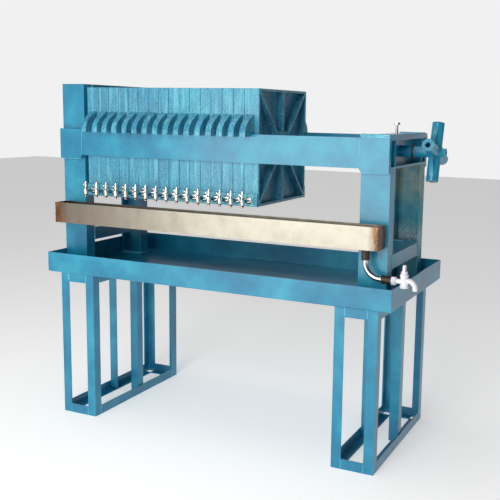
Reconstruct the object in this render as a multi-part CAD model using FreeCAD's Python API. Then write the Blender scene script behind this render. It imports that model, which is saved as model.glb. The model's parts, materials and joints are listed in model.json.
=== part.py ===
"""Screw-operated plate filter press on two angle-iron stands, in millimetres.

The press lies along X: the fixed head is at -X, the screw head at +X, and the filtrate
trough with its cocks is on the -Y side. Z is up and the stands rest on Z = 0. The origin
is on the floor under the middle of the overall box.
"""
import FreeCAD
import Part
import math
import os

Vector = FreeCAD.Vector

# ---- plate pack ----
plate_count = 14            # filter plates between the end plate and the follower
plate_thickness = 50.0
plate_width = 446.0
plate_height = 460.0
plate_chamfer = 1.5         # broken edge that leaves a shallow groove at each joint
end_plate_thickness = 62.0
end_plate_standoff = 14.0   # mounting feet that seat the end plate on the fixed head
end_plate_foot = 22.0
follower_thickness = 64.0
follower_pocket = 30.0      # depth of the open ribbed back
follower_rim = 10.0
rib_thickness = 10.0
hub_across_flats = 124.0
pad_height = 50.0           # drainage pad along the bottom of each plate side
pad_proud = 8.0
slide_clearance = 0.3

# ---- plate ears ----
ear_rise = 75.0             # ear root above the side bar
ear_drop = 10.0             # ear tip below the top of the side bar
ear_hook = 41.5             # ear tip, from its notch to its nose
ear_root_width = 36.0
ear_tip_width = 25.0
ear_lean = 4.0              # ear tip off the middle of its root
ear_clearance = 8.0         # between the ear tip and the side bar
ear_notch_chamfer = 9.0

# ---- side bars ----
bar_top_above_screw = 54.0
bar_height = 112.0
bar_thickness = 18.0
bar_clearance = 5.0         # plate side to side bar
collar_thickness = 4.0
collar_drop = 15.0          # collar below the side bar
collar_chamfer = 10.0

# ---- rolled channel of the heads ----
channel_width = 114.0
channel_depth = 55.0
channel_web = 7.0
channel_flange = 8.0
channel_root = 8.0
channel_toe = 4.0
head_above_plates = 14.0    # top of the fixed head over the top of the plates
lower_cross_rise = 123.0    # lower cross members above the tray floor
foot_thickness = 8.0
foot_margin_x = 12.0
foot_margin_y = 16.0

# ---- screw head ----
daylight = 426.0            # follower to screw head, with the press closed
bridge_plate = 8.0
bridge_web = 10.0
bridge_web_setback = 37.0   # web behind the outer edge of the bridge plates
stiffener_setback = 50.0    # stiffener in from the end of the bridge
stiffener_thickness = 6.0
top_plate_thickness = 10.0  # cover over the bridge and the bar ends

# ---- screw and capstan ----
screw_diameter = 30.0
screw_fit = 0.08            # radial clearance of the screw in every bore
thrust_head_diameter = 48.0
thrust_head_length = 12.0
retainer_diameter = 92.0
retainer_thickness = 8.0
nut_diameter = 44.0
nut_length = 80.0
nut_proud = 12.0            # nut beyond the bridge plates
collar_ring_diameter = 50.0
collar_ring_length = 7.0
grub_screw_diameter = 6.0
grub_screw_proud = 4.0
capstan_reach = 101.0       # capstan centre beyond the screw head
capstan_radius = 114.0
capstan_tilt = 16.0
socket_diameter = 47.0
socket_bore = 20.0
socket_depth = 70.0
capstan_web = 15.0
capstan_hollow = 0.42       # how far the webs' hollow edges stay out, of the radius
hub_diameter = 41.0
hub_tail = 26.0
stud_diameter = 20.0        # turned-down end of the screw in the cap nut
stud_short = 2.0            # stud end inside the outer face of the cap nut
cap_nut_flats = 30.0
cap_nut_length = 16.0

# ---- drip tray and stands ----
stand_height = 631.0
tray_height = 85.0
tray_width = 680.0
tray_sheet = 3.0
tray_bend = 6.0
post_inset = 6.0            # fixed head in from the end of the tray
tray_overhang = 56.0        # tray beyond the screw head
stand_width = 170.0
stand_depth = 641.0
stand_inset = 54.0          # stand in from each end of the tray
angle_leg = 40.0
angle_thickness = 5.0
angle_root = 5.0
angle_toe = 2.5

# ---- filtrate trough ----
plates_above_trough = 31.0
trough_height = 86.0
trough_width = 78.0
trough_sheet = 2.0
trough_lip = 8.0
trough_gap = 6.0            # trough back to the posts, filled by the brackets
trough_left_inset = 22.0    # in from the left end of the tray
trough_right_inset = 12.0   # in from the outer side of the screw head
bracket_width = 40.0
bracket_height = 60.0

# ---- filtrate cocks ----
cock_height = 24.0          # cock axis above the bottom of the plate
cock_reach = 51.0           # spindle out from the drainage pad
cock_flange_diameter = 30.0
cock_flange_thickness = 4.0
cock_stem_diameter = 12.0
cock_body_diameter = 18.0
cock_spout_diameter = 12.0
cock_spout_drop = 25.0
cock_neck_diameter = 9.0
cock_handle_diameter = 14.0
cock_handle_top = 46.0      # top of the handle above the cock axis
cock_tip_length = 9.0
cock_barrel_length = 24.0
cock_grip_length = 16.0
cock_shoulder = 3.0

# ---- outlet and tap ----
outlet_inset = 70.0         # outlet in from the outer side of the screw head
pipe_diameter = 21.3
pipe_wall = 2.6
pipe_fit = 0.1
bend_radius = 60.0
socket_wall = 4.8
outlet_socket_length = 41.0
tap_above_rim = 21.0        # tap axis over the rim of the tray
outlet_drop = 108.0         # tap axis below the trough
tap_socket_length = 37.0
tap_socket_overlap = 15.0
tap_collar_diameter = 28.0
tap_collar_length = 16.0
tap_neck_diameter = 18.0
tap_neck_length = 15.0
tap_body_diameter = 31.0
tap_body_up = 32.0
tap_body_down = 23.0
tap_band = 6.0              # raised bands round the tap body
tap_band_proud = 2.0
tap_cap_slope = 8.0
tap_cap_in = 5.0
tap_bore = 10.0
spout_diameter = 19.0
spout_radius = 26.0
spout_drop = 8.0
spout_rise = 4.0            # spout axis above the tap axis
handle_pin_diameter = 8.0
handle_pin_length = 14.0
handle_fit = 0.05
handle_cap_diameter = 24.0
handle_cap_thickness = 5.0
handle_fin_width = 26.0
handle_fin_thickness = 9.0
handle_fin_height = 24.0

# ---- feed inlet ----
inlet_flange_diameter = 110.0
inlet_flange_thickness = 14.0
inlet_pipe_diameter = 48.3
inlet_bore = 40.0
feed_hole_diameter = 34.0
inlet_length = 110.0

# ---- lock bolt ----
lock_bolt_diameter = 10.0
lock_bolt_flats = 21.0
lock_bolt_head = 8.0
lock_bolt_standout = 47.0
lock_bolt_below = 18.0
lock_bolt_y = 0.0
lock_bolt_setback = 54.0

# ---- stations along X ----
pack_length = plate_count * plate_thickness
overall_length = (post_inset + channel_width + end_plate_standoff + end_plate_thickness
                  + pack_length + slide_clearance + follower_thickness + daylight
                  + channel_width + capstan_reach + hub_tail + cap_nut_length)
tray_left = -overall_length / 2
left_post = tray_left + post_inset
left_head_face = left_post + channel_width
end_plate_left = left_head_face + end_plate_standoff
pack_left = end_plate_left + end_plate_thickness
follower_face = pack_left + pack_length + slide_clearance
follower_back = follower_face + follower_thickness
right_post = follower_back + daylight
right_head_face = right_post + channel_width
capstan_x = right_head_face + capstan_reach
tray_right = right_head_face + tray_overhang
bridge_web_right = right_head_face - bridge_web_setback

# ---- stations across Y ----
plate_side = plate_width / 2
bar_inner = plate_side + bar_clearance
bar_outer = bar_inner + bar_thickness
collar_outer = bar_outer + collar_thickness
flange_tip = bar_inner - channel_depth
cock_y = -(plate_side + pad_proud + cock_reach)
trough_back = -(bar_inner + trough_gap)
trough_front = trough_back - trough_width
outlet_y = (trough_back + trough_front) / 2

# ---- stations up Z, from the floor ----
tray_floor = stand_height + tray_sheet
post_foot = tray_floor + foot_thickness
lower_cross_bottom = tray_floor + lower_cross_rise
tap_height = stand_height + tray_height + tap_above_rim
trough_bottom = tap_height + outlet_drop
trough_top = trough_bottom + trough_height
plate_bottom = trough_top + plates_above_trough
plate_top = plate_bottom + plate_height
cock_z = plate_bottom + cock_height
screw_z = (plate_bottom + plate_top) / 2
bar_top = screw_z + bar_top_above_screw
bar_bottom = bar_top - bar_height
bridge_top = bar_top
bridge_bottom = bar_bottom
head_top = plate_top + head_above_plates

# ---- stations along the trough ----
trough_left = tray_left + trough_left_inset
trough_right = right_head_face - trough_right_inset
outlet_x = right_head_face - outlet_inset

nodes = {}


def place(axis, along, a, b):
    """Point with one coordinate along an axis and the other two in X, Y, Z order."""
    if axis == "x":
        return Vector(along, a, b)
    if axis == "y":
        return Vector(a, along, b)
    return Vector(a, b, along)


def box(x0, x1, y0, y1, z0, z1):
    return Part.makeBox(x1 - x0, y1 - y0, z1 - z0, Vector(x0, y0, z0))


def rod(axis, low, high, a, b, diameter):
    direction = place(axis, 1, 0, 0)
    return Part.makeCylinder(diameter / 2, high - low, place(axis, low, a, b), direction)


def tube(axis, low, high, a, b, outer, inner):
    return rod(axis, low, high, a, b, outer).cut(rod(axis, low, high, a, b, inner))


def hexagon(axis, low, high, a, b, flats):
    radius = flats / math.sqrt(3)
    corners = [(a + radius * math.cos(math.radians(60 * i)),
                b + radius * math.sin(math.radians(60 * i))) for i in range(6)]
    return prism(axis, low, high, corners)


def rounded(points):
    """Closed list of 2D edges' points: straight runs, and arcs at corners with a radius."""
    pieces = []
    count = len(points)
    for i, point in enumerate(points):
        here = Vector(point[0], point[1], 0)
        radius = point[2] if len(point) > 2 else 0.0
        if not radius:
            pieces.append([here])
            continue
        before = Vector(*points[i - 1][:2], 0) - here
        after = Vector(*points[(i + 1) % count][:2], 0) - here
        before.normalize()
        after.normalize()
        half = before.getAngle(after) / 2
        reach = radius / math.tan(half)
        middle = (before + after).normalize() * (radius / math.sin(half) - radius)
        pieces.append([here + before * reach, here + middle, here + after * reach])
    return pieces


def prism(axis, low, high, points):
    """Solid with a rounded outline, pulled along an axis from low to high."""
    pieces = rounded(points)
    edges = []
    for i, piece in enumerate(pieces):
        here = [place(axis, low, p.x, p.y) for p in piece]
        following = pieces[(i + 1) % len(pieces)][0]
        start = place(axis, low, following.x, following.y)
        if len(here) == 3:
            edges.append(Part.Arc(*here).toShape())
        if here[-1].distanceToPoint(start) > 1e-6:
            edges.append(Part.LineSegment(here[-1], start).toShape())
    face = Part.Face(Part.Wire(edges))
    return face.extrude(place(axis, high - low, 0, 0))


def turned(axis_point, axis_direction, profile):
    """Solid of revolution; profile holds (distance along, radius) pairs."""
    side = Vector(0, 0, 1) if abs(axis_direction.z) < 0.5 else Vector(1, 0, 0)
    points = [axis_point + axis_direction * along + side * radius for along, radius in profile]
    first = axis_point + axis_direction * profile[0][0]
    last = axis_point + axis_direction * profile[-1][0]
    outline = [first] + points + [last, first]
    face = Part.Face(Part.makePolygon(outline))
    return face.revolve(axis_point, axis_direction, 360)


def mirrored(shape):
    return shape.mirror(Vector(0, 0, 0), Vector(0, 1, 0))


def angle_outline(a, b, toward_a, toward_b):
    """Rolled equal angle with its heel at (a, b) and its legs toward the given signs."""
    leg = angle_leg
    thick = angle_thickness
    return [(a, b),
            (a + toward_a * leg, b),
            (a + toward_a * leg, b + toward_b * thick, angle_toe),
            (a + toward_a * thick, b + toward_b * thick, angle_root),
            (a + toward_a * thick, b + toward_b * leg, angle_toe),
            (a, b + toward_b * leg)]


def channel_outline(low, back, toward):
    """Rolled channel: web at back, width from low upward, flanges toward the given sign."""
    high = low + channel_width
    tip = back + toward * channel_depth
    inner = back + toward * channel_web
    return [(low, back), (high, back), (high, tip),
            (high - channel_flange, tip, channel_toe),
            (high - channel_flange, inner, channel_root),
            (low + channel_flange, inner, channel_root),
            (low + channel_flange, tip, channel_toe),
            (low, tip)]


def swapped(outline):
    return [(point[1], point[0]) + tuple(point[2:]) for point in outline]


def drip_tray():
    half = tray_width / 2
    outer = box(tray_left, tray_right, -half, half, stand_height, stand_height + tray_height)
    inner = box(tray_left + tray_sheet, tray_right - tray_sheet, tray_sheet - half,
                half - tray_sheet, tray_floor, stand_height + 2 * tray_height)
    floor_edges = [e for e in outer.Edges if e.BoundBox.ZMax < stand_height + 1e-3]
    inner_edges = [e for e in inner.Edges if e.BoundBox.ZMax < tray_floor + 1e-3]
    outer = outer.makeFillet(tray_bend, floor_edges)
    inner = inner.makeFillet(tray_bend - tray_sheet, inner_edges)
    return outer.cut(inner)


def stand(name, x0):
    """Box frame of angle iron: corner and middle uprights with top and bottom rails."""
    x1 = x0 + stand_width
    y1 = stand_depth / 2
    uprights = []
    for sx, x in ((1, x0), (-1, x1)):
        for sy, y in ((1, -y1), (-1, y1)):
            uprights.append(prism("z", 0, stand_height, angle_outline(x, y, sx, sy)))
        middle = angle_outline(x + sx * angle_thickness, 0, sx, 1)
        clear = angle_thickness + angle_root
        uprights.append(prism("z", clear, stand_height - clear, middle))
    side_rails = []
    end_rails = []
    for sz, z in ((1, 0), (-1, stand_height)):
        for sx, x in ((1, x0), (-1, x1)):
            outline = angle_outline(x, z, sx, sz)
            side_rails.append(prism("y", angle_leg - y1, y1 - angle_leg, outline))
        for sy, y in ((1, -y1), (-1, y1)):
            outline = angle_outline(y, z, sy, sz)
            end_rails.append(prism("x", x0 + angle_leg, x1 - angle_leg, outline))
    nodes[name + "_uprights"] = uprights
    nodes[name + "_side_rails"] = side_rails
    nodes[name + "_end_rails"] = end_rails


def head_post(x0, top):
    return prism("z", post_foot, top, channel_outline(x0, -bar_inner, 1))


def foot_plates(x0, x1):
    plate = box(x0, x1, -bar_inner - foot_margin_y, -flange_tip + foot_margin_y,
                tray_floor, post_foot)
    return [plate, mirrored(plate)]


def lower_cross(x0):
    outline = channel_outline(x0, lower_cross_bottom + channel_depth, -1)
    return prism("y", -flange_tip, flange_tip, outline)


def fixed_head():
    post = head_post(left_post, head_top)
    nodes["fixed_head_front_post"] = [post]
    nodes["fixed_head_back_post"] = [mirrored(post)]
    nodes["fixed_head_foot_plates"] = foot_plates(left_post, left_head_face + foot_margin_x)
    top_outline = swapped(channel_outline(head_top - channel_width, left_head_face, -1))
    nodes["fixed_head_top_cross"] = [prism("y", -flange_tip, flange_tip, top_outline)]
    nodes["fixed_head_lower_cross"] = [lower_cross(left_post)]


def head_bridge():
    """Top and bottom plates with an upright web and two stiffeners, and the cover on them."""
    top = box(right_post, right_head_face, -bar_inner, bar_inner,
              bridge_top - bridge_plate, bridge_top)
    bottom = box(right_post, right_head_face, -bar_inner, bar_inner,
                 bridge_bottom, bridge_bottom + bridge_plate)
    web = box(bridge_web_right - bridge_web, bridge_web_right, -bar_inner, bar_inner,
              bridge_bottom + bridge_plate, bridge_top - bridge_plate)
    end = bar_inner - stiffener_setback
    rib = box(bridge_web_right, right_head_face, -end, stiffener_thickness - end,
              bridge_bottom + bridge_plate, bridge_top - bridge_plate)
    bridge = top.fuse([bottom, web, rib, mirrored(rib)]).removeSplitter()
    nut_hole = rod("x", right_post, right_head_face, 0, screw_z, nut_diameter + 2 * screw_fit)
    bolt_hole = rod("z", bridge_top - 2 * bridge_plate, bridge_top + 2 * top_plate_thickness,
                    right_head_face - lock_bolt_setback, lock_bolt_y,
                    lock_bolt_diameter + 2 * screw_fit)
    cover = box(right_post, right_head_face, -bar_outer, bar_outer, bridge_top,
                bridge_top + top_plate_thickness)
    return bridge.cut(nut_hole).cut(bolt_hole), cover.cut(bolt_hole)


def screw_head():
    post = head_post(right_post, bridge_bottom)
    nodes["screw_head_front_post"] = [post]
    nodes["screw_head_back_post"] = [mirrored(post)]
    nodes["screw_head_foot_plates"] = foot_plates(right_post - foot_margin_x,
                                                  right_head_face + foot_margin_x)
    nodes["screw_head_lower_cross"] = [lower_cross(right_post)]
    bridge, cover = head_bridge()
    nodes["screw_head_bridge"] = [bridge]
    nodes["screw_head_cover"] = [cover]
    nut_right = right_head_face + nut_proud
    nodes["screw_nut"] = [tube("x", nut_right - nut_length, nut_right, 0, screw_z,
                               nut_diameter, screw_diameter + 2 * screw_fit)]
    bolt_x = right_head_face - lock_bolt_setback
    head_z = bridge_top + lock_bolt_standout
    shank = rod("z", bridge_top - lock_bolt_below, head_z, bolt_x, lock_bolt_y,
                lock_bolt_diameter)
    head = hexagon("z", head_z, head_z + lock_bolt_head, bolt_x, lock_bolt_y, lock_bolt_flats)
    nodes["lock_bolt"] = [shank.fuse(head)]


def side_bars():
    bar = box(left_post, right_head_face, -bar_outer, -bar_inner, bar_bottom, bar_top)
    nodes["front_side_bar"] = [bar]
    nodes["back_side_bar"] = [mirrored(bar)]
    low = bar_bottom - collar_drop
    collars = []
    for outer_x, inner_x in ((left_post, left_head_face), (right_head_face, right_post)):
        step = math.copysign(collar_chamfer, outer_x - inner_x)
        outline = [(outer_x, low), (inner_x + step, low), (inner_x, low + collar_chamfer),
                   (inner_x, bar_top), (outer_x, bar_top)]
        collar = prism("y", -collar_outer, -bar_outer, outline)
        filler = box(min(outer_x, inner_x), max(outer_x, inner_x), -bar_outer, -bar_inner,
                     low, bar_bottom)
        trim = prism("y", -bar_outer, -bar_inner, outline)
        collar = collar.fuse(filler.common(trim)).removeSplitter()
        collars += [collar, mirrored(collar)]
    nodes["bar_end_collars"] = collars


def ear(x):
    """Hooked ear on the -Y side: a claw over the side bar, straight on +X and flared on -X."""
    notch = bar_outer - plate_side + ear_clearance
    tip = notch + ear_hook
    root = plate_side - 1
    half = ear_root_width / 2

    def at(out, up):
        return Vector(x - ear_root_width, -plate_side - out, bar_top + up)

    slope = (at(0, ear_rise), at(0.36 * tip, 0.81 * ear_rise), at(0.73 * tip, 0.56 * ear_rise))
    nose = (slope[2], at(0.92 * tip, 0.31 * ear_rise), at(tip, 0.07 * ear_rise))
    corners = [nose[2], at(tip, -ear_drop), at(notch + ear_notch_chamfer, -ear_drop),
               at(notch, 0), Vector(slope[0].x, -root, bar_top),
               Vector(slope[0].x, -root, bar_top + ear_rise), slope[0]]
    edges = [Part.Arc(*arc).toShape() for arc in (slope, nose)]
    edges += [Part.LineSegment(a, b).toShape() for a, b in zip(corners, corners[1:])]
    side_view = Part.Face(Part.Wire(edges)).extrude(Vector(2 * ear_root_width, 0, 0))

    low = bar_top - ear_drop
    outline = []
    ends = []
    for sign in (1, -1):
        slim = ear_tip_width / 2 + sign * ear_lean
        inside = Vector(x + sign * half, -root, low)
        start = Vector(inside.x, -plate_side, low)
        waist = Vector(x + sign * (slim + 0.3 * (half - slim)), -plate_side - 0.25 * tip, low)
        neck = Vector(x + sign * slim, -plate_side - 0.7 * tip, low)
        far = Vector(neck.x, -plate_side - tip, low)
        outline += [Part.LineSegment(inside, start).toShape(),
                    Part.Arc(start, waist, neck).toShape(),
                    Part.LineSegment(neck, far).toShape()]
        ends.append((inside, far))
    outline += [Part.LineSegment(a, b).toShape() for a, b in zip(*ends)]
    plan_view = Part.Face(Part.Wire(Part.__sortEdges__(outline)))
    return side_view.common(plan_view.extrude(Vector(0, 0, ear_rise + ear_drop)))


def plate_blank(x0, thickness):
    """Square cast plate with broken face edges and a drainage pad along each side."""
    block = box(x0, x0 + thickness, -plate_side, plate_side, plate_bottom, plate_top)
    pad_side = plate_side + pad_proud
    pads = box(x0 + plate_chamfer, x0 + thickness - plate_chamfer, -pad_side, pad_side,
               plate_bottom, plate_bottom + pad_height)
    face_edges = [e for e in block.Edges if e.BoundBox.XLength < 1e-3]
    return block.makeChamfer(plate_chamfer, face_edges).fuse(pads)


def filter_plate(x0):
    hook = ear(x0 + plate_thickness / 2)
    return plate_blank(x0, plate_thickness).fuse([hook, mirrored(hook)]).removeSplitter()


def end_plate():
    hook = ear(end_plate_left + end_plate_thickness / 2)
    feet = []
    for side in (-flange_tip - end_plate_foot, flange_tip):
        feet.append(box(left_head_face, end_plate_left, side, side + end_plate_foot,
                        plate_bottom, plate_top))
    blank = plate_blank(end_plate_left, end_plate_thickness)
    blank = blank.fuse([hook, mirrored(hook)] + feet).removeSplitter()
    feed = rod("x", end_plate_left - 1, pack_left + 1, 0, screw_z, feed_hole_diameter)
    return blank.cut(feed)


def follower_ribs():
    """Upright rib, four diagonals and an octagonal hub inside the open back."""
    floor = follower_back - follower_pocket
    half_h = plate_height / 2 - follower_rim / 2
    half_w = plate_side - follower_rim / 2
    upright = box(floor, follower_back, -rib_thickness / 2, rib_thickness / 2,
                  screw_z - half_h, screw_z + half_h)
    slope = math.atan2(half_h, half_w)
    length = math.hypot(half_h, half_w)
    bar = box(floor, follower_back, -length, length,
              screw_z - rib_thickness / 2, screw_z + rib_thickness / 2)
    centre = Vector(0, 0, screw_z)
    diagonals = []
    for turn in (slope, -slope):
        diagonal = bar.copy()
        diagonal.rotate(centre, Vector(1, 0, 0), math.degrees(turn))
        diagonals.append(diagonal)
    radius = hub_across_flats / 2 / math.cos(math.pi / 8)
    corners = [(radius * math.cos(math.pi * (i + 0.5) / 4),
                screw_z + radius * math.sin(math.pi * (i + 0.5) / 4)) for i in range(8)]
    hub = prism("x", floor, follower_back, corners)
    inside = box(floor, follower_back, -half_w, half_w, screw_z - half_h, screw_z + half_h)
    return upright.fuse(diagonals + [hub]).common(inside)


def follower_plate():
    hook = ear(follower_face + plate_thickness / 2)
    hook.translate(Vector(0, 0, slide_clearance))
    rim = follower_rim
    pocket = box(follower_back - follower_pocket, follower_back + 1,
                 rim - plate_side, plate_side - rim, plate_bottom + rim, plate_top - rim)
    body = plate_blank(follower_face, follower_thickness).cut(pocket)
    body = body.fuse([follower_ribs(), hook, mirrored(hook)]).removeSplitter()
    seat = rod("x", follower_back - thrust_head_length - screw_fit, follower_back + 1,
               0, screw_z, thrust_head_diameter + 2 * screw_fit)
    return body.cut(seat)


def cock(x):
    """Plug cock: flange and stem on the drainage pad, upright body, neck and handle."""
    pad = -(plate_side + pad_proud)
    flange = rod("y", pad - cock_flange_thickness, pad, x, cock_z, cock_flange_diameter)
    stem = rod("y", cock_y, pad, x, cock_z, cock_stem_diameter)
    body_r = cock_body_diameter / 2
    spout_r = cock_spout_diameter / 2
    neck_r = cock_neck_diameter / 2
    grip_r = cock_handle_diameter / 2
    barrel = cock_barrel_length / 2
    grip_low = cock_handle_top - cock_grip_length
    profile = [(-cock_spout_drop, spout_r), (-cock_spout_drop + cock_tip_length, spout_r),
               (-barrel, body_r), (barrel, body_r), (barrel + cock_shoulder, neck_r),
               (grip_low - cock_shoulder, neck_r), (grip_low, grip_r),
               (cock_handle_top - cock_shoulder, grip_r), (cock_handle_top, 0.6 * grip_r)]
    spindle = turned(Vector(x, cock_y, cock_z), Vector(0, 0, 1), profile)
    return flange.fuse([stem, spindle]).removeSplitter()


def pack():
    nodes["fixed_end_plate"] = [end_plate()]
    cocks = [cock(end_plate_left + end_plate_thickness / 2)]
    for index in range(plate_count):
        x0 = pack_left + index * plate_thickness
        nodes["filter_plate_%02d" % (index + 1)] = [filter_plate(x0)]
        cocks.append(cock(x0 + plate_thickness / 2))
    nodes["filtrate_cocks"] = cocks
    nodes["follower_plate"] = [follower_plate()]
    nodes["follower_cock"] = [cock(follower_face + plate_thickness / 2)]


def screw_and_capstan():
    head_left = follower_back - thrust_head_length
    retainer_right = follower_back + retainer_thickness
    nodes["screw_retainer"] = [tube("x", follower_back, retainer_right, 0, screw_z,
                                    retainer_diameter, screw_diameter + 2 * screw_fit)]
    nut_left = capstan_x + hub_tail
    nut_right = nut_left + cap_nut_length
    head = rod("x", head_left, follower_back - screw_fit, 0, screw_z, thrust_head_diameter)
    shaft = rod("x", head_left, nut_left, 0, screw_z, screw_diameter)
    stud = rod("x", head_left, nut_right - stud_short, 0, screw_z, stud_diameter)
    nodes["screw"] = [head.fuse([shaft, stud]).removeSplitter()]

    ring_left = right_head_face + nut_proud + slide_clearance
    ring_right = ring_left + collar_ring_length
    ring_x = (ring_left + ring_right) / 2
    reach = collar_ring_diameter / 2 + grub_screw_proud
    ring = rod("x", ring_left, ring_right, 0, screw_z, collar_ring_diameter)
    grubs = rod("z", screw_z - reach, screw_z + reach, ring_x, 0, grub_screw_diameter)
    bore = rod("x", ring_left - 1, ring_right + 1, 0, screw_z, screw_diameter + 2 * screw_fit)
    nodes["screw_collar"] = [ring.fuse(grubs).cut(bore)]

    nodes["capstan"] = [capstan(ring_right)]
    cap = hexagon("x", nut_left, nut_right, 0, screw_z, cap_nut_flats)
    cap_bore = rod("x", nut_left - 1, nut_right + 1, 0, screw_z, stud_diameter + 2 * screw_fit)
    nodes["capstan_nut"] = [cap.cut(cap_bore)]


def capstan(hub_left):
    """Four bar sockets on a hub, joined by thin webs with hollow outer edges."""
    hub = rod("x", hub_left, capstan_x + hub_tail, 0, screw_z, hub_diameter)
    arms = []
    bores = []
    for axis, centre in (("y", screw_z), ("z", 0)):
        middle = 0 if axis == "y" else screw_z
        arms.append(rod(axis, middle - capstan_radius, middle + capstan_radius,
                        capstan_x, centre, socket_diameter))
        for sign in (-1, 1):
            mouth = middle + sign * capstan_radius
            inner = mouth - sign * socket_depth
            bores.append(rod(axis, min(mouth, inner), max(mouth, inner), capstan_x, centre,
                             socket_bore))
    reach = capstan_radius - 2
    hollow = capstan_hollow * capstan_radius
    side = 0.45 * socket_diameter
    webs = []
    for sy in (-1, 1):
        for sz in (-1, 1):
            corner = [Vector(capstan_x - capstan_web / 2, sy * y, screw_z + sz * z)
                      for y, z in ((reach, side), (hollow, hollow), (side, reach), (0, reach),
                                   (0, 0), (reach, 0))]
            edges = [Part.Arc(*corner[:3]).toShape()]
            edges += [Part.LineSegment(a, b).toShape()
                      for a, b in zip(corner[2:], corner[3:] + corner[:1])]
            webs.append(Part.Face(Part.Wire(edges)).extrude(Vector(capstan_web, 0, 0)))
    star = hub.fuse(arms + webs).removeSplitter()
    star = star.cut(bores[0].fuse(bores[1:]))
    star = star.cut(rod("x", hub_left - 1, capstan_x + hub_tail + 1, 0, screw_z,
                        screw_diameter + 2 * screw_fit))
    star.rotate(Vector(capstan_x, 0, screw_z), Vector(1, 0, 0), -capstan_tilt)
    return star


def trough():
    back = trough_back
    front = trough_front
    outer = box(trough_left, trough_right, front, back, trough_bottom, trough_top)
    inner = box(trough_left + trough_sheet, trough_right - trough_sheet, front + trough_sheet,
                back - trough_sheet, trough_bottom + trough_sheet, trough_top - trough_sheet)
    mouth = box(trough_left + trough_sheet, trough_right - trough_sheet, front + trough_lip,
                back - trough_lip, trough_bottom + trough_sheet, trough_top + 1)
    drain = rod("z", trough_bottom - 1, trough_bottom + trough_sheet + 1, outlet_x, outlet_y,
                pipe_diameter - 2 * pipe_wall)
    nodes["filtrate_trough"] = [outer.cut(inner).cut(mouth).cut(drain)]
    brackets = []
    for x in (left_post, right_post):
        low = max(x, trough_left) + (channel_width - bracket_width) / 2
        middle = (trough_bottom + trough_top) / 2
        brackets.append(box(low, low + bracket_width, trough_back, -bar_inner,
                            middle - bracket_height / 2, middle + bracket_height / 2))
    nodes["trough_brackets"] = brackets


def bent_tube(centre, start_angle, radius, outer, inner):
    """Quarter bend in the XZ plane about a centre, starting at an angle from +X."""
    angle = math.radians(start_angle)
    start = centre + Vector(radius * math.cos(angle), 0, radius * math.sin(angle))
    tangent = Vector(-math.sin(angle), 0, math.cos(angle))
    ring = Part.Face(Part.Wire(Part.makeCircle(outer / 2, start, tangent)))
    ring = ring.cut(Part.Face(Part.Wire(Part.makeCircle(inner / 2, start, tangent))))
    return ring.revolve(centre, Vector(0, -1, 0), 90)


def outlet():
    bore = pipe_diameter + 2 * pipe_fit
    socket_outer = pipe_diameter + 2 * socket_wall
    inside = pipe_diameter - 2 * pipe_wall
    socket_low = trough_bottom - outlet_socket_length
    nodes["outlet_socket"] = [tube("z", socket_low, trough_bottom, outlet_x, outlet_y,
                                   socket_outer, bore)]
    bend_end = outlet_x + bend_radius
    tap_socket_left = bend_end + 6
    drop = tube("z", tap_height + bend_radius, socket_low + tap_socket_overlap,
                outlet_x, outlet_y, pipe_diameter, inside)
    bend = bent_tube(Vector(bend_end, outlet_y, tap_height + bend_radius), 180, bend_radius,
                     pipe_diameter, inside)
    run = tube("x", bend_end, tap_socket_left + tap_socket_overlap, outlet_y, tap_height,
               pipe_diameter, inside)
    nodes["outlet_bend"] = [drop.fuse([bend, run]).removeSplitter()]
    tap_left = tap_socket_left + tap_socket_length
    nodes["tap_socket"] = [tube("x", tap_socket_left, tap_left, outlet_y, tap_height,
                                socket_outer, bore)]
    tap(tap_left)


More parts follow.
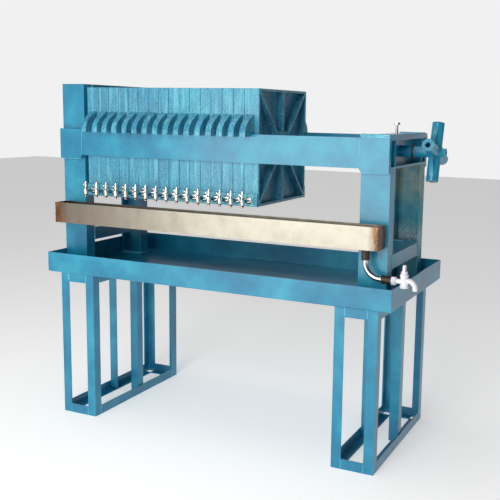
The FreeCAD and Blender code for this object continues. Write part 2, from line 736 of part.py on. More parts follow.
def tap(left):
    """Moulded bib tap: threaded spigot, collar, neck, upright barrel and bent spout."""
    y = outlet_y
    neck_left = left + tap_collar_length
    barrel_x = neck_left + tap_neck_length + tap_body_diameter / 2
    top = tap_height + tap_body_up
    spigot = rod("x", left - tap_socket_overlap, left, y, tap_height, pipe_diameter)
    collar = hexagon("x", left, neck_left, y, tap_height, tap_collar_diameter)
    neck = rod("x", neck_left, barrel_x, y, tap_height, tap_neck_diameter)
    radius = tap_body_diameter / 2
    band_low = tap_body_up - tap_cap_slope - tap_band
    barrel = turned(Vector(barrel_x, y, tap_height), Vector(0, 0, 1),
                    [(-tap_body_down, radius), (-tap_body_down + tap_band, radius),
                     (-tap_body_down + tap_band + tap_band_proud, radius - tap_band_proud),
                     (band_low - tap_band_proud, radius - tap_band_proud), (band_low, radius),
                     (band_low + tap_band, radius), (tap_body_up, radius - tap_cap_in)])
    bend_x = barrel_x + radius
    spout_z = tap_height + spout_rise
    bend_centre = Vector(bend_x, y, spout_z - spout_radius)
    stub = tube("x", barrel_x, bend_x, y, spout_z, spout_diameter, tap_bore)
    bend = bent_tube(bend_centre, 0, spout_radius, spout_diameter, tap_bore)
    nose = tube("z", spout_z - spout_radius - spout_drop, spout_z - spout_radius,
                bend_x + spout_radius, y, spout_diameter, tap_bore)
    body = spigot.fuse([collar, neck, barrel, stub, bend, nose]).removeSplitter()
    inlet = rod("x", left - tap_socket_overlap - 1, barrel_x, y, tap_height, tap_bore)
    outlet_bore = rod("x", barrel_x, bend_x, y, spout_z, tap_bore)
    pin_hole = rod("z", top - handle_pin_length - 1, top + 1, barrel_x, y,
                   handle_pin_diameter + 2 * handle_fit)
    nodes["tap_body"] = [body.cut(inlet).cut(outlet_bore).cut(pin_hole)]

    pin = rod("z", top - handle_pin_length, top + slide_clearance, barrel_x, y,
              handle_pin_diameter)
    cap_low = top + slide_clearance
    cap_high = cap_low + handle_cap_thickness
    cap = rod("z", cap_low, cap_high, barrel_x, y, handle_cap_diameter)
    fin_top = cap_high + handle_fin_height
    half = handle_fin_width / 2
    fin = prism("x", barrel_x - handle_fin_thickness / 2, barrel_x + handle_fin_thickness / 2,
                [(y - half * 0.8, cap_high - 1), (y + half * 0.8, cap_high - 1),
                 (y + half * 0.55, fin_top, half * 0.5), (y - half * 0.55, fin_top, half * 0.5)])
    nodes["tap_handle"] = [pin.fuse([cap, fin]).removeSplitter()]


def feed_inlet():
    """Flanged feed nozzle on the outer face of the end plate, between the fixed posts."""
    flange = rod("x", end_plate_left - inlet_flange_thickness, end_plate_left, 0, screw_z,
                 inlet_flange_diameter)
    pipe = rod("x", end_plate_left - inlet_length, end_plate_left, 0, screw_z,
               inlet_pipe_diameter)
    bore = rod("x", end_plate_left - inlet_length - 1, end_plate_left + 1, 0, screw_z,
               inlet_bore)
    nodes["feed_inlet"] = [flange.fuse(pipe).cut(bore)]


def write_parts():
    os.makedirs("parts", exist_ok=True)
    for name, solids in nodes.items():
        shape = solids[0] if len(solids) == 1 else Part.makeCompound(solids)
        shape.exportStep("parts/" + name + ".step")


nodes["drip_tray"] = [drip_tray()]
stand("left_stand", tray_left + stand_inset)
stand("right_stand", tray_right - stand_inset - stand_width)
fixed_head()
screw_head()
side_bars()
pack()
screw_and_capstan()
trough()
outlet()
feed_inlet()
write_parts()
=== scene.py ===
"""Finish of the plate filter press: paint, cast iron, stainless, chrome, welds and thread."""
import json
import math
import random

import bmesh
import bpy
from mathutils import Matrix, Vector, noise


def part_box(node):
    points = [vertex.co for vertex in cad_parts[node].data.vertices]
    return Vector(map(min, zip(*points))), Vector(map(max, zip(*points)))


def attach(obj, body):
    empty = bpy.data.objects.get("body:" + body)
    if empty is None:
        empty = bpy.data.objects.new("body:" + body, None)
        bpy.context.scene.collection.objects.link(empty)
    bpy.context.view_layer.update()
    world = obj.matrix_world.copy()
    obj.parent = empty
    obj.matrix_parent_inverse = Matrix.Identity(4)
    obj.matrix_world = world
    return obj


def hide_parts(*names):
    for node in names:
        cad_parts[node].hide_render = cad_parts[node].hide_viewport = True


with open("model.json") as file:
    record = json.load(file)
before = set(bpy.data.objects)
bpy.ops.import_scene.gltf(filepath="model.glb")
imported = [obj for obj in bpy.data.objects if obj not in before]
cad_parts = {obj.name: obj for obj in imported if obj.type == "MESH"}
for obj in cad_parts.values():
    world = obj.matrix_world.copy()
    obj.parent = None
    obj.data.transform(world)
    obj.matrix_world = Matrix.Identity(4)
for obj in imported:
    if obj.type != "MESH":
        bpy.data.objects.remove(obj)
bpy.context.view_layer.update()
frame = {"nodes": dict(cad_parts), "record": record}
nodes = frame["nodes"]


# ---- materials ----

def colour(code):
    """Linear RGBA from an sRGB hex code."""
    parts = [int(code[i:i + 2], 16) / 255 for i in (1, 3, 5)]
    return [p / 12.92 if p <= 0.04045 else ((p + 0.055) / 1.055) ** 2.4 for p in parts] + [1.0]


def add(tree, kind, inputs=None, **settings):
    """Adds a node with its settings; an input is a value or another node's output."""
    made = tree.nodes.new(kind)
    for key, value in settings.items():
        setattr(made, key, value)
    for socket, value in (inputs or {}).items():
        if isinstance(value, bpy.types.NodeSocket):
            tree.links.new(value, made.inputs[socket])
        else:
            made.inputs[socket].default_value = value
    return made


def ramp(tree, factor, stops):
    """Colour ramp with its stops set from (position, hex code) pairs."""
    made = add(tree, "ShaderNodeValToRGB", {"Fac": factor})
    elements = made.color_ramp.elements
    while len(elements) < len(stops):
        elements.new(0.5)
    for element, (position, code) in zip(elements, stops):
        element.position = position
        element.color = colour(code)
    return made.outputs["Color"]


def begin(name):
    """Empty material with an output, and the object coordinates that its patterns follow."""
    material = bpy.data.materials.new(name)
    material.use_nodes = True
    tree = material.node_tree
    tree.nodes.clear()
    place = add(tree, "ShaderNodeTexCoord").outputs["Object"]
    return material, tree, place


def shade(tree, inputs):
    """Principled shader with these inputs, on the material's output."""
    shader = add(tree, "ShaderNodeBsdfPrincipled", inputs)
    add(tree, "ShaderNodeOutputMaterial", {"Surface": shader.outputs["BSDF"]})


def edge_mask(tree, radius, reach):
    """1 on outside and inside edges, 0 on flats: how far a rounded normal leaves the true one."""
    soft = add(tree, "ShaderNodeBevel", {"Radius": radius}, samples=4).outputs["Normal"]
    true = add(tree, "ShaderNodeNewGeometry").outputs["Normal"]
    same = add(tree, "ShaderNodeVectorMath", {0: soft, 1: true}, operation="DOT_PRODUCT")
    return span(tree, same.outputs["Value"], 1.0, reach)


def noise_at(tree, place, scale, detail=4.0, roughness=0.6, stretch=None):
    """Noise value; stretch gives a scale for each axis in place of one for all."""
    if stretch:
        place = add(tree, "ShaderNodeMapping", {"Vector": place,
                                                "Scale": stretch}).outputs["Vector"]
        scale = 1.0
    return add(tree, "ShaderNodeTexNoise", {"Vector": place, "Scale": scale, "Detail": detail,
                                            "Roughness": roughness}).outputs["Fac"]


def span(tree, value, start, stop, low=0.0, high=1.0):
    """Value carried from start..stop to low..high, held at both ends."""
    return add(tree, "ShaderNodeMapRange", {"Value": value, "From Min": start, "From Max": stop,
                                            "To Min": low, "To Max": high}).outputs["Result"]


def over(tree, mask, under, top):
    """Colour under the mask's black and top's colour, a hex code, under its white."""
    top = colour(top) if isinstance(top, str) else top
    return add(tree, "ShaderNodeMix", {"Factor": mask, 6: under, 7: top},
               data_type="RGBA").outputs[2]


def math_at(tree, operation, *values):
    """Result of a Math node; each value is a number or another node's output."""
    return add(tree, "ShaderNodeMath", dict(enumerate(values)),
               operation=operation).outputs["Value"]


def times(tree, first, second):
    """Product of two values."""
    return math_at(tree, "MULTIPLY", first, second)


def painted_joint_shade(tree, place):
    """Painted shade along each joint where one filter plate meets the next, stronger at some than
    at others.
    """
    low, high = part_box("filter_plate_01")
    pitch = high.x - low.x
    # counted from 20 pitches further left, so that no count on the part is negative
    first = low.x - pitch * 20
    x = add(tree, "ShaderNodeSeparateXYZ", {"Vector": place}).outputs["X"]
    count = math_at(tree, "DIVIDE", math_at(tree, "SUBTRACT", x, first), pitch)
    centred = math_at(tree, "SUBTRACT", math_at(tree, "FRACT", count), 0.5)
    # 0.5 is the joint itself; the painted shade ends 0.022 of a pitch away, about 1 mm
    seam = span(tree, math_at(tree, "ABSOLUTE", centred), 0.478, 0.492)
    broken = noise_at(tree, place, 1.0, 3.0, 0.7, stretch=(14.0, 9.0, 5.0))
    return times(tree, seam, span(tree, broken, 0.40, 0.62, 0.25, 1.0))


def gloss_enamel(name, deep, middle, pale, cast=False, seams=False, grain=0.0):
    """Alkyd gloss enamel on steel or iron: uneven coat, soft brush lines, dirt, small chips.

    cast adds painted highlights on the tops of the sand-cast grain, painted shade in its pits
    and vertical runs of thick paint; the joint flag adds painted shade along the joints between
    the plates.
    """
    material, tree, place = begin(name)
    # patches of thick and thin paint, 60 to 150 mm across
    patches = noise_at(tree, place, 7.0, 4.0)
    base = ramp(tree, patches, [(0.30, deep), (0.50, middle), (0.72, pale)])
    if cast:
        # vertical runs of paint, 8 to 15 mm apart and 200 mm long
        runs = noise_at(tree, place, 1.0, 4.0, 0.6, stretch=(75.0, 75.0, 5.0))
        base = over(tree, span(tree, runs, 0.50, 0.68, 0.0, 0.60), base, "#6cc3d6")
        base = over(tree, span(tree, runs, 0.46, 0.30, 0.0, 0.45), base, "#0f6c9a")
        # painted highlights on the grain tops and painted shade in the pits, 2 to 4 mm
        grain_light_and_shade = noise_at(tree, place, 300.0, 3.0, 0.7)
        base = over(tree, span(tree, grain_light_and_shade, 0.53, 0.62, 0.0, 0.60), base, "#a4dfe8")
        base = over(tree, span(tree, grain_light_and_shade, 0.42, 0.32, 0.0, 0.55), base, "#0d5c80")
    # dull specks of dirt and thin paint, 2 to 6 mm
    specks = noise_at(tree, place, 170.0, 3.0, 0.65)
    base = over(tree, span(tree, specks, 0.66, 0.76, 0.0, 0.50), base, "#1d4a57")
    # painted shade along the joints between the plates
    if seams:
        base = over(tree, painted_joint_shade(tree, place), base, "#0b3a50")
    # chips along edges, broken up at about 8 mm
    chips = noise_at(tree, place, 120.0, 4.0, 0.7)
    edges = edge_mask(tree, 0.0020, 0.93)
    chipped = times(tree, span(tree, chips, 0.60, 0.64), edges)
    base = over(tree, chipped, base, "#3a3f42")
    gloss = span(tree, patches, 0.0, 1.0, 0.24 + grain * 0.3, 0.40 + grain * 0.3)
    # brush lines along the bars, about 4 mm apart
    brush = noise_at(tree, place, 1.0, 4.0, 0.5, stretch=(3.0, 60.0, 240.0))
    rounded = add(tree, "ShaderNodeBevel", {"Radius": 0.0012}, samples=4).outputs["Normal"]
    lines = add(tree, "ShaderNodeBump", {"Height": brush, "Strength": 0.12, "Distance": 0.002,
                                         "Normal": rounded}).outputs["Normal"]
    # skin of the metal under the coat, 3 to 5 mm
    skin = noise_at(tree, place, 230.0, 5.0, 0.62)
    bumped = add(tree, "ShaderNodeBump", {"Height": skin, "Strength": 0.08 + grain,
                                          "Distance": 0.003, "Normal": lines}).outputs["Normal"]
    shade(tree, {"Base Color": base, "Roughness": gloss, "IOR": 1.5, "Normal": bumped,
                 "Coat Weight": 0.25, "Coat Roughness": 0.14})
    return material


def faded_enamel():
    """Enamel rubbed and oversprayed on the far post: grey-green above, white speckle below."""
    material, tree, place = begin("faded_enamel_on_steel")
    low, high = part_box("screw_head_back_post")
    tall = high.z - low.z
    z = add(tree, "ShaderNodeSeparateXYZ", {"Vector": place}).outputs["Z"]
    patches = noise_at(tree, place, 22.0, 5.0, 0.65)
    base = ramp(tree, patches, [(0.32, "#15708f"), (0.52, "#1f8a9f"), (0.70, "#3fa3ad")])
    upper = span(tree, z, low.z + tall * 0.62, low.z + tall * 0.80)
    fade = times(tree, upper, span(tree, patches, 0.34, 0.56, 0.25, 0.95))
    base = over(tree, fade, base, "#7f9388")
    lower = span(tree, z, low.z + tall * 0.52, low.z + tall * 0.40)
    foot = span(tree, z, low.z + tall * 0.24, low.z + tall * 0.34)
    fine = noise_at(tree, place, 210.0, 4.0, 0.7)
    spray = times(tree, times(tree, lower, foot), span(tree, fine, 0.42, 0.58, 0.0, 0.80))
    base = over(tree, spray, base, "#b9c6c4")
    bump = add(tree, "ShaderNodeBump", {"Height": fine, "Strength": 0.20, "Distance": 0.002})
    shade(tree, {"Base Color": base, "Roughness": span(tree, fine, 0.0, 1.0, 0.35, 0.60),
                 "IOR": 1.5, "Normal": bump.outputs["Normal"]})
    return material


def rolled_stainless():
    """Welded stainless sheet: mill finish, painted shade to the left, brown heat tint at the
    ends.
    """
    material, tree, place = begin("rolled_stainless_sheet")
    x = add(tree, "ShaderNodeSeparateXYZ", {"Vector": place}).outputs["X"]
    low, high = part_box("filtrate_trough")
    cloud = noise_at(tree, place, 13.0, 5.0, 0.65)
    # warm grey-brown tones: stainless with a painted warm reflection
    base = ramp(tree, cloud, [(0.30, "#8f877d"), (0.50, "#a39b90"), (0.70, "#b2aba0")])
    # painted grey-brown shade on the left, thinning out towards the right half
    painted_light_tone = span(tree, x, low.x + 0.75, low.x + 0.05, 0.0, 1.0)
    painted_light_tone = times(tree, painted_light_tone, span(tree, cloud, 0.30, 0.62, 0.45, 1.0))
    base = over(tree, painted_light_tone, base, "#75695f")
    # heat tint in streaks beside both end welds
    streaks = noise_at(tree, place, 1.0, 5.0, 0.7, stretch=(95.0, 40.0, 14.0))
    left = span(tree, x, low.x + 0.110, low.x + 0.010)
    right = span(tree, x, high.x - 0.055, high.x - 0.008)
    ends = math_at(tree, "MAXIMUM", left, right)
    burnt = span(tree, times(tree, ends, streaks), 0.20, 0.46)
    tint = ramp(tree, streaks, [(0.35, "#3d2a20"), (0.50, "#6f4a31"), (0.66, "#a07f5f")])
    base = over(tree, burnt, base, tint)
    # rolling lines, about 1 mm apart, drawn along the sheet
    lines = noise_at(tree, place, 1.0, 3.0, 0.5, stretch=(6.0, 500.0, 500.0))
    dents = add(tree, "ShaderNodeBump", {"Height": noise_at(tree, place, 6.0, 2.0),
                                         "Strength": 0.35, "Distance": 0.010})
    brushed = add(tree, "ShaderNodeBump", {"Height": lines, "Strength": 0.12, "Distance": 0.0006,
                                           "Normal": dents.outputs["Normal"]})
    shade(tree, {"Base Color": base, "Metallic": 0.92, "Normal": brushed.outputs["Normal"],
                 "Roughness": span(tree, cloud, 0.3, 0.7, 0.30, 0.46)})
    return material


def chrome_with_painted_reflection():
    """Chromed brass: bright polish with a painted brown reflection in small patches."""
    material, tree, place = begin("chromed_brass_painted_reflection")
    painted_light_tone = noise_at(tree, place, 110.0, 4.0, 0.7)
    base = ramp(tree, painted_light_tone, [(0.46, "#e9e9e8"), (0.60, "#cfc6b8"), (0.74, "#7d6650")])
    shade(tree, {"Base Color": base, "Metallic": 1.0,
                 "Roughness": span(tree, painted_light_tone, 0.3, 0.7, 0.10, 0.28)})
    return material


def moulded_plastic():
    """Injection-moulded white polypropylene: waxy gloss, faint flow clouds."""
    material, tree, place = begin("moulded_white_plastic")
    cloud = noise_at(tree, place, 40.0, 3.0, 0.5)
    base = ramp(tree, cloud, [(0.35, "#e2e0ec"), (0.65, "#efeef6")])
    fine = noise_at(tree, place, 900.0, 2.0, 0.5)
    skin = add(tree, "ShaderNodeBump", {"Height": fine, "Strength": 0.05, "Distance": 0.0004})
    shade(tree, {"Base Color": base, "Roughness": 0.33, "IOR": 1.49,
                 "Subsurface Weight": 0.12, "Subsurface Radius": (0.004, 0.004, 0.004),
                 "Normal": skin.outputs["Normal"]})
    return material


def metal_fitting(name, dark, light, metallic, rough, bump):
    """Plain pipe fitting or fastener: cloudy colour and a fine skin of scale or plating."""
    material, tree, place = begin(name)
    cloud = noise_at(tree, place, 130.0, 5.0, 0.65)
    base = ramp(tree, cloud, [(0.36, dark), (0.64, light)])
    rounded = add(tree, "ShaderNodeBevel", {"Radius": 0.0006}, samples=4).outputs["Normal"]
    skin = add(tree, "ShaderNodeBump", {"Height": cloud, "Strength": bump, "Distance": 0.001,
                                        "Normal": rounded})
    shade(tree, {"Base Color": base, "Metallic": metallic, "Normal": skin.outputs["Normal"],
                 "Roughness": span(tree, cloud, 0.0, 1.0, rough * 0.7, rough * 1.3)})
    return material


ENAMEL = ("#0f6c92", "#1580a4", "#2a98b4")
steel_paint = gloss_enamel("brushed_gloss_enamel_on_steel", *ENAMEL)
cast_paint = gloss_enamel("gloss_enamel_on_sand_cast_iron", *ENAMEL, cast=True, grain=0.22)
plate_paint = gloss_enamel("gloss_enamel_on_cast_filter_plates", *ENAMEL, cast=True, seams=True,
                           grain=0.30)
smooth_cast = gloss_enamel("gloss_enamel_on_dressed_casting", *ENAMEL, grain=0.06)
# paler than the other enamel: painted highlight on the weld beads
weld_paint_highlighted = gloss_enamel("enamel_over_weld_painted_highlight", "#2f94bc", "#58b4d2", "#8fd6ea", grain=0.10)
far_post_paint = faded_enamel()
stainless = rolled_stainless()
chrome = chrome_with_painted_reflection()
white_plastic = moulded_plastic()
black_iron = metal_fitting("scaled_malleable_iron", "#241b18", "#4f3a31", 0.3, 0.50, 0.35)
pipe_steel = metal_fitting("drawn_steel_pipe", "#a4a5a7", "#e6e7e8", 1.0, 0.20, 0.05)
greased_steel = metal_fitting("greased_turned_steel", "#25292e", "#5a6068", 0.9, 0.28, 0.08)
zinc = metal_fitting("zinc_plated_steel", "#8f9396", "#c6c9cb", 1.0, 0.32, 0.08)
burnt_weld = metal_fitting("heat_stained_stainless_weld", "#4f3425", "#b58a64", 0.8, 0.40, 0.6)
black_oxide = metal_fitting("black_oxide_steel", "#0e0f11", "#26282c", 0.6, 0.40, 0.10)
brown_seal = metal_fitting("copper_brown_seal", "#5b2f22", "#8f5440", 0.3, 0.45, 0.10)
red_tape = metal_fitting("red_sealing_tape", "#a3211f", "#cf4038", 0.0, 0.50, 0.20)

slot_materials = {
    "painted_steel": steel_paint,
    "painted_casting": cast_paint,
    "stainless_sheet": stainless,
    "chromed_brass": chrome,
    "white_plastic": white_plastic,
    "iron_fitting": black_iron,
    "steel_pipe": pipe_steel,
    "screw_steel": greased_steel,
    "zinc_plated_steel": zinc,
}
node_materials = {"screw_head_back_post": far_post_paint, "capstan": smooth_cast,
                  "screw_collar": black_iron}
for part in frame["record"]["subparts"]:
    node = part["node"]
    chosen = node_materials.get(node, slot_materials[part["material_slot"]])
    if node.startswith("filter_plate"):
        chosen = plate_paint
    for slot in nodes[node].material_slots:
        slot.material = chosen


# ---- pieces ----

def piece(name, mesh_maker, material, body="press_frame", smooth=True):
    """New object at the origin from a function that fills a bmesh."""
    bm = bmesh.new()
    mesh_maker(bm)
    bmesh.ops.recalc_face_normals(bm, faces=bm.faces)
    mesh = bpy.data.meshes.new(name)
    bm.to_mesh(mesh)
    bm.free()
    if smooth:
        mesh.shade_smooth()
    obj = bpy.data.objects.new(name, mesh)
    bpy.context.scene.collection.objects.link(obj)
    mesh.materials.append(material)
    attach(obj, body)
    return obj


def turn_profile(bm, base, axis, profile, segments=24):
    """Closed turned shape: profile holds (distance along the axis, radius) pairs."""
    side = axis.orthogonal().normalized()
    verts = [bm.verts.new(base + axis * along + side * radius) for along, radius in profile]
    edges = [bm.edges.new(pair) for pair in zip(verts, verts[1:])]
    bmesh.ops.spin(bm, geom=verts + edges, cent=base, axis=axis, angle=2 * math.pi,
                   steps=segments, use_merge=True)
    bmesh.ops.remove_doubles(bm, verts=bm.verts, dist=1e-6)


def weld(bm, start, end, radius, seed=0):
    """Hand-laid bead: a ring pulled along the joint and swollen at each ripple."""
    along = end - start
    pitch = radius * 0.9
    count = max(2, int(along.length / pitch))
    step = along / count
    turn = along.to_track_quat("Z", "Y").to_matrix().to_4x4()
    made = bmesh.ops.create_circle(bm, segments=8, radius=radius * 0.7, cap_ends=True,
                                   matrix=Matrix.Translation(start) @ turn)
    face = made["verts"][0].link_faces[0]
    centre = start.copy()
    for index in range(count):
        grown = bmesh.ops.extrude_discrete_faces(bm, faces=[face])
        face = grown["faces"][0]
        centre += step
        wobble = noise.noise(Vector((index * 0.7, seed * 3.1, 0.5)))
        wanted = radius * (0.95 + 0.35 * wobble + 0.12 * (index % 2))
        if index == count - 1:
            wanted = radius * 0.6
        middle = face.calc_center_median()
        size = (face.verts[0].co - middle).length
        for vert in face.verts:
            vert.co = centre + (vert.co - middle) * (wanted / size)


def welds(name, lines, radius, body="press_frame", material=weld_paint_highlighted):
    """One piece with a bead along each line."""
    def fill(bm):
        for index, (start, end) in enumerate(lines):
            weld(bm, Vector(start), Vector(end), radius, index)
    return piece(name, fill, material, body)


def rectangle(x0, x1, y0, y1, z):
    """Four lines round a level rectangle."""
    corners = [(x0, y0, z), (x1, y0, z), (x1, y1, z), (x0, y1, z)]
    return list(zip(corners, corners[1:] + corners[:1]))


def post_foot_welds():
    """Beads round the feet of the four posts."""
    lines = []
    for name in ("fixed_head_front_post", "fixed_head_back_post", "screw_head_front_post",
                 "screw_head_back_post"):
        low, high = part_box(name)
        lines += rectangle(low.x, high.x, low.y, high.y, low.z + 0.001)
    return welds("post_foot_welds", lines, 0.0035)


def collar_welds():
    """Beads under and beside the collars, where they are welded over the bar ends."""
    lines = []
    bar_low, bar_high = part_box("front_side_bar")
    low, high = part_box("bar_end_collars")
    for post in ("fixed_head_front_post", "screw_head_front_post"):
        post_low, post_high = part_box(post)
        for y in (low.y + 0.003, -low.y - 0.003):
            lines.append(((post_low.x + 0.004, y, low.z), (post_high.x - 0.004, y, low.z)))
    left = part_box("fixed_head_front_post")[1].x
    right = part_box("screw_head_front_post")[0].x
    for x in (left, right):
        for y in (low.y + 0.003, -low.y - 0.003):
            lines.append(((x, y, bar_low.z + 0.004), (x, y, bar_high.z - 0.004)))
    return welds("collar_welds", lines, 0.0025)


def bar_end_welds():
    """Heavy overlapping lumps where the cover plate is welded down onto both bar ends."""
    low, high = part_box("screw_head_cover")
    rng = random.Random(4)
    lines = []
    for sign in (1, -1):
        for row in range(3):
            y = low.y + 0.0045 + row * 0.0060
            start = low.x - 0.004 + rng.uniform(0.0, 0.010)
            stop = high.x - rng.uniform(0.003, 0.012)
            lines.append(((start, sign * y, high.z + 0.0004),
                          (stop, sign * (y + rng.uniform(-0.002, 0.002)), high.z + 0.0004)))
        y = sign * (low.y + 0.0030)
        lines.append(((low.x + 0.002, y, low.z + 0.001), (high.x - 0.002, y, low.z + 0.002)))
        y = sign * (low.y + 0.0035)
        lines.append(((low.x + 0.004, y, low.z + 0.006), (high.x - 0.020, y, low.z + 0.005)))
    return welds("bar_end_welds", lines, 0.0042)


def cover_edge_welds():
    """Ragged beads along the cover's outer edge, over the bridge."""
    low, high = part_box("screw_head_cover")
    rng = random.Random(9)
    lines = []
    y = low.y + 0.006
    while y < high.y - 0.03:
        run = rng.uniform(0.020, 0.050)
        x = high.x - 0.0045
        lines.append(((x, y, high.z + 0.0002),
                      (x - rng.uniform(0.0, 0.004), min(y + run, high.y - 0.004),
                       high.z + 0.0002)))
        y += run + rng.uniform(-0.004, 0.012)
    return welds("cover_edge_welds", lines, 0.0034)


def cross_welds():
    """Beads where the cross members meet the posts."""
    lines = []
    for name in ("fixed_head_lower_cross", "screw_head_lower_cross"):
        low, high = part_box(name)
        for y in (low.y, high.y):
            lines.append(((low.x, y, high.z), (high.x, y, high.z)))
            lines.append(((high.x, y, low.z), (high.x, y, high.z)))
    low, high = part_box("fixed_head_top_cross")
    for y in (low.y, high.y):
        lines.append(((high.x, y, low.z), (high.x, y, high.z)))
    return welds("cross_member_welds", lines, 0.003)


def stand_welds():
    """Upright beads in the corners of both stands, over the width of the angle iron."""
    angle = 0.036
    lines = []
    for side in ("left_stand", "right_stand"):
        low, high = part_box(side + "_end_rails")
        up_low, up_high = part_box(side + "_uprights")
        for x in (low.x, high.x):
            for y in (low.y + 0.0008, high.y - 0.0008):
                lines.append(((x, y, 0.004), (x, y, angle)))
                lines.append(((x, y, up_high.z - angle), (x, y, up_high.z - 0.004)))
        low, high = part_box(side + "_side_rails")
        for y in (low.y, high.y):
            for x in (up_low.x + 0.0008, up_high.x - 0.0008):
                lines.append(((x, y, 0.004), (x, y, angle)))
                lines.append(((x, y, up_high.z - angle), (x, y, up_high.z - 0.004)))
    return welds("stand_welds", lines, 0.0022)


def trough_end_welds():
    """Heat-stained seams at both end walls of the trough."""
    low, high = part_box("filtrate_trough")
    lines = []
    for x in (low.x + 0.0015, high.x - 0.0015):
        for y in (low.y + 0.001, high.y - 0.001):
            lines.append(((x, y, low.z + 0.002), (x, y, high.z - 0.002)))
        lines.append(((x, low.y, low.z + 0.001), (x, high.y, low.z + 0.001)))
    return welds("trough_end_welds", lines, 0.0022, material=burnt_weld)


def cock_bodies(bm, x, y, z):
    """Barrel of a filtrate cock, with its pointed top and its spout."""
    profile = [(-0.0190, 0.0), (-0.0190, 0.0050), (-0.0170, 0.0060), (-0.0155, 0.0074),
               (-0.0130, 0.0082), (0.0080, 0.0082), (0.0105, 0.0078), (0.0125, 0.0060),
               (0.0160, 0.0050), (0.0240, 0.0048), (0.0265, 0.0054), (0.0300, 0.0060),
               (0.0340, 0.0050), (0.0400, 0.0032), (0.0455, 0.0018), (0.0465, 0.0)]
    turn_profile(bm, Vector((x, y, z)), Vector((0, 0, 1)), profile)
    tip = [(-0.0248, 0.0), (-0.0250, 0.0040), (-0.0235, 0.0054), (-0.0212, 0.0056),
           (-0.0204, 0.0050), (-0.0204, 0.0)]
    turn_profile(bm, Vector((x, y, z)), Vector((0, 0, 1)), tip)


def cock_bands(bm, x, y, z):
    """Brown seal between the barrel and its outlet tip."""
    profile = [(-0.0206, 0.0), (-0.0206, 0.0050), (-0.0200, 0.0058), (-0.0192, 0.0058),
               (-0.0188, 0.0050), (-0.0188, 0.0)]
    turn_profile(bm, Vector((x, y, z)), Vector((0, 0, 1)), profile)


def cock_levers(bm, x, y, z):
    """Short lever, up and to one side of the neck, tapering to a flattened end."""
    along = Vector((-0.80, 0.0, 0.60)).normalized()
    profile = [(0.0, 0.0), (0.0, 0.0030), (0.0060, 0.0026), (0.0130, 0.0024), (0.0155, 0.0030),
               (0.0175, 0.0028), (0.0182, 0.0)]
    turn_profile(bm, Vector((x - 0.002, y + 0.001, z + 0.018)), along, profile, 12)


def cock_stems(bm, x, pad_y, y, z):
    """Painted pipe from the plate to the barrel."""
    reach = pad_y - y
    profile = [(0.0040, 0.0), (0.0040, 0.0056), (reach * 0.45, 0.0056), (reach * 0.50, 0.0072),
               (reach * 0.62, 0.0072), (reach * 0.66, 0.0058), (reach - 0.0030, 0.0058),
               (reach - 0.0030, 0.0)]
    turn_profile(bm, Vector((x, y, z)), Vector((0, 1, 0)), profile)


def cock_rings(bm, x, pad_y, y, z):
    """Thin chromed washer against the plate, with a raised lip."""
    reach = pad_y - y
    profile = [(reach - 0.0055, 0.0), (reach - 0.0055, 0.0080), (reach - 0.0048, 0.0104),
               (reach - 0.0040, 0.0118), (reach - 0.0034, 0.0140), (reach - 0.0012, 0.0146),
               (reach, 0.0146), (reach, 0.0)]
    turn_profile(bm, Vector((x, y, z)), Vector((0, 1, 0)), profile)


def filtrate_cocks():
    """The row of cocks on the end plate and the filter plates, and the follower's own."""
    barrel = 0.009
    tip = 0.025
    washer = 0.015
    plates = 14
    low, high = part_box("follower_cock")
    pad_y = high.y
    y = low.y + barrel
    z = low.z + tip
    follower_x = (low.x + high.x) / 2
    row_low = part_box("filtrate_cocks")[0]
    plate_low, plate_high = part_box("filter_plate_01")
    pitch = plate_high.x - plate_low.x
    xs = [row_low.x + washer]
    xs += [plate_low.x + pitch * (index + 0.5) for index in range(plates)]

    def row(maker, *place):
        def fill(bm):
            for x in xs:
                maker(bm, x, *place)
        return fill

    def last(maker, *place):
        return lambda bm: maker(bm, follower_x, *place)

    bodies = piece("filtrate_cock_bodies", row(cock_bodies, y, z), chrome)
    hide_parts("filtrate_cocks")
    body = piece("follower_cock_body", last(cock_bodies, y, z), chrome,
                 "follower")
    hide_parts("follower_cock")
    for name, maker, place, material, slot in (
            ("bands", cock_bands, (y, z), brown_seal, "chromed_brass"),
            ("levers", cock_levers, (y, z), chrome, "chromed_brass"),
            ("stems", cock_stems, (pad_y, y, z), steel_paint, "painted_steel"),
            ("rings", cock_rings, (pad_y, y, z), chrome, "chromed_brass")):
        piece("filtrate_cock_" + name, row(maker, *place), material)
        piece("follower_cock_" + name, last(maker, *place), material, "follower")


def collar_grub_screws():
    """Two socket grub screws that lock the collar on the screw."""
    low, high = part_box("screw_collar")
    middle = (low + high) / 2
    radius = (high.z - low.z) / 2

    def fill(bm):
        for sign in (1, -1):
            base = Vector((middle.x, 0, middle.z + sign * (radius - 0.003)))
            profile = [(0.0, 0.0), (0.0, 0.0028), (0.0048, 0.0028), (0.0054, 0.0022),
                       (0.0054, 0.0014), (0.0030, 0.0014), (0.0030, 0.0)]
            turn_profile(bm, base, Vector((0, 0, sign)), profile, 12)
    return piece("collar_grub_screws", fill, black_oxide, "screw_and_capstan")


def tap_tape_ring():
    """Red sealing tape wound where the tap enters its socket."""
    low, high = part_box("tap_socket")
    middle = (low + high) / 2

    def fill(bm):
        profile = [(-0.0005, 0.0), (-0.0005, 0.0088), (0.0002, 0.0098), (0.0016, 0.0100),
                   (0.0024, 0.0090), (0.0024, 0.0)]
        turn_profile(bm, Vector((high.x, middle.y, middle.z)), Vector((1, 0, 0)), profile)
    return piece("tap_tape_ring", fill, red_tape)


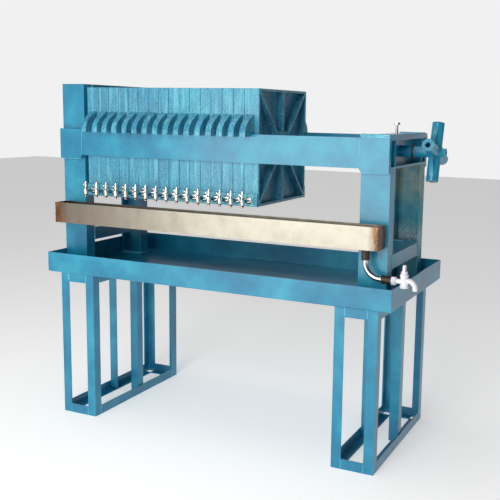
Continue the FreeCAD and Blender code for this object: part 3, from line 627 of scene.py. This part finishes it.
def square_thread():
    """Screw with a square thread: an open tooth section swept as a helix round the core."""
    low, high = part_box("screw")
    axis_z = (low.z + high.z) / 2
    radius = 0.015
    root = 0.0122
    lead = 0.006
    head = 0.012
    hub_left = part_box("capstan")[0].x
    start = low.x + head
    turns = int((hub_left - start) / lead) - 2

    def fill(bm):
        base = Vector((low.x, 0, axis_z))
        along = Vector((1, 0, 0))
        turn_profile(bm, base, along, [(0, 0), (0, 0.024), (head, 0.024), (head, root),
                                       (head + turns * lead + 0.02, root),
                                       (head + turns * lead + 0.02, radius),
                                       (high.x - low.x - 0.014, radius),
                                       (high.x - low.x - 0.014, 0.010),
                                       (high.x - low.x, 0.010), (high.x - low.x, 0)], 32)
        x = start + 0.002
        shape = [(x, root - 0.0005), (x, radius), (x + lead * 0.45, radius),
                 (x + lead * 0.45, root - 0.0005)]
        verts = [bm.verts.new((px, 0, axis_z + pz)) for px, pz in shape]
        edges = [bm.edges.new(pair) for pair in zip(verts, verts[1:])]
        steps = 24
        bmesh.ops.spin(bm, geom=verts + edges, cent=(x, 0, axis_z), axis=along,
                       angle=2 * math.pi * turns, steps=steps * turns,
                       dvec=along * (lead / steps))
    thread = piece("square_threaded_screw", fill, greased_steel,
                   "screw_and_capstan", smooth=False)
    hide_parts("screw")


def floor():
    """Pale studio floor, a little lit from below to stay near white."""
    bm = bmesh.new()
    bmesh.ops.create_grid(bm, x_segments=2, y_segments=2, size=14)
    mesh = bpy.data.meshes.new("floor")
    bm.to_mesh(mesh)
    bm.free()
    obj = bpy.data.objects.new("floor", mesh)
    bpy.context.scene.collection.objects.link(obj)
    material, tree, place = begin("pale_floor")
    shade(tree, {"Base Color": colour("#f4f4f4"), "Roughness": 0.9,
                 "Emission Color": colour("#ffffff"), "Emission Strength": 0.42})
    mesh.materials.append(material)


# ---- light and camera ----

def area_light(name, place, target, size, power, tint):
    """Rectangular lamp at a place, aimed at a target; size in metres, power in watts."""
    lamp = bpy.data.lights.new(name, "AREA")
    lamp.shape = "RECTANGLE"
    lamp.size, lamp.size_y = size
    lamp.energy = power
    lamp.color = colour(tint)[:3]
    obj = bpy.data.objects.new(name, lamp)
    bpy.context.scene.collection.objects.link(obj)
    obj.location = place
    obj.rotation_euler = (Vector(target) - Vector(place)).to_track_quat("-Z", "Y").to_euler()


def studio():
    """White studio walls up to eye height, dim ceiling, one key from the front, one low fill."""
    world = bpy.data.worlds.new("studio")
    world.use_nodes = True
    tree = world.node_tree
    sky = add(tree, "ShaderNodeTexCoord").outputs["Generated"]
    height = add(tree, "ShaderNodeSeparateXYZ", {"Vector": sky}).outputs["Z"]
    side = add(tree, "ShaderNodeSeparateXYZ", {"Vector": sky}).outputs["X"]
    back = tree.nodes["Background"]
    back.inputs["Color"].default_value = colour("#ffffff")
    walls = span(tree, height, 0.16, 0.42, 0.88, 0.16)
    # the wall on the right is in the dark, so that the right faces stay deep
    tree.links.new(times(tree, walls, span(tree, side, 0.10, 0.50, 1.0, 0.25)),
                   back.inputs["Strength"])
    bpy.context.scene.world = world
    bpy.context.scene.view_settings.view_transform = "Standard"
    area_light("key", (0.5, -4.4, 2.6), (0.1, 0, 0.9), (1.8, 1.8), 100, "#fffaf2")
    area_light("low_fill", (-0.95, -3.7, 0.85), (0.2, 0, 1.1), (2.5, 1.3), 44, "#f6fff8")
    area_light("top", (-0.6, -0.4, 4.2), (0, 0, 1.0), (3.0, 2.0), 30, "#ffffff")


def camera():
    """Eye in front of the right end, a little above the side bars, looking slightly down."""
    lens = bpy.data.cameras.new("view")
    obj = bpy.data.objects.new("view", lens)
    bpy.context.scene.collection.objects.link(obj)
    bpy.context.scene.camera = obj
    lens.sensor_width = 36.0
    lens.lens = 57.66
    lens.shift_x = -0.0928
    lens.shift_y = -0.0358
    yaw = math.radians(24.46)
    pitch = math.radians(-8.57)
    roll = math.radians(1.04)
    forward = Vector((-math.sin(yaw) * math.cos(pitch), math.cos(yaw) * math.cos(pitch),
                      math.sin(pitch)))
    right = Vector((math.cos(yaw), math.sin(yaw), 0))
    up = right.cross(forward)
    right_rolled = right * math.cos(roll) + up * math.sin(roll)
    up_rolled = up * math.cos(roll) - right * math.sin(roll)
    turn = Matrix((right_rolled, up_rolled, -forward)).transposed().to_4x4()
    obj.matrix_world = Matrix.Translation((1.5719, -3.0059, 1.3365)) @ turn


camera()
studio()
floor()
post_foot_welds()
collar_welds()
bar_end_welds()
cross_welds()
stand_welds()
cover_edge_welds()
trough_end_welds()
filtrate_cocks()
collar_grub_screws()
tap_tape_ring()
square_thread()
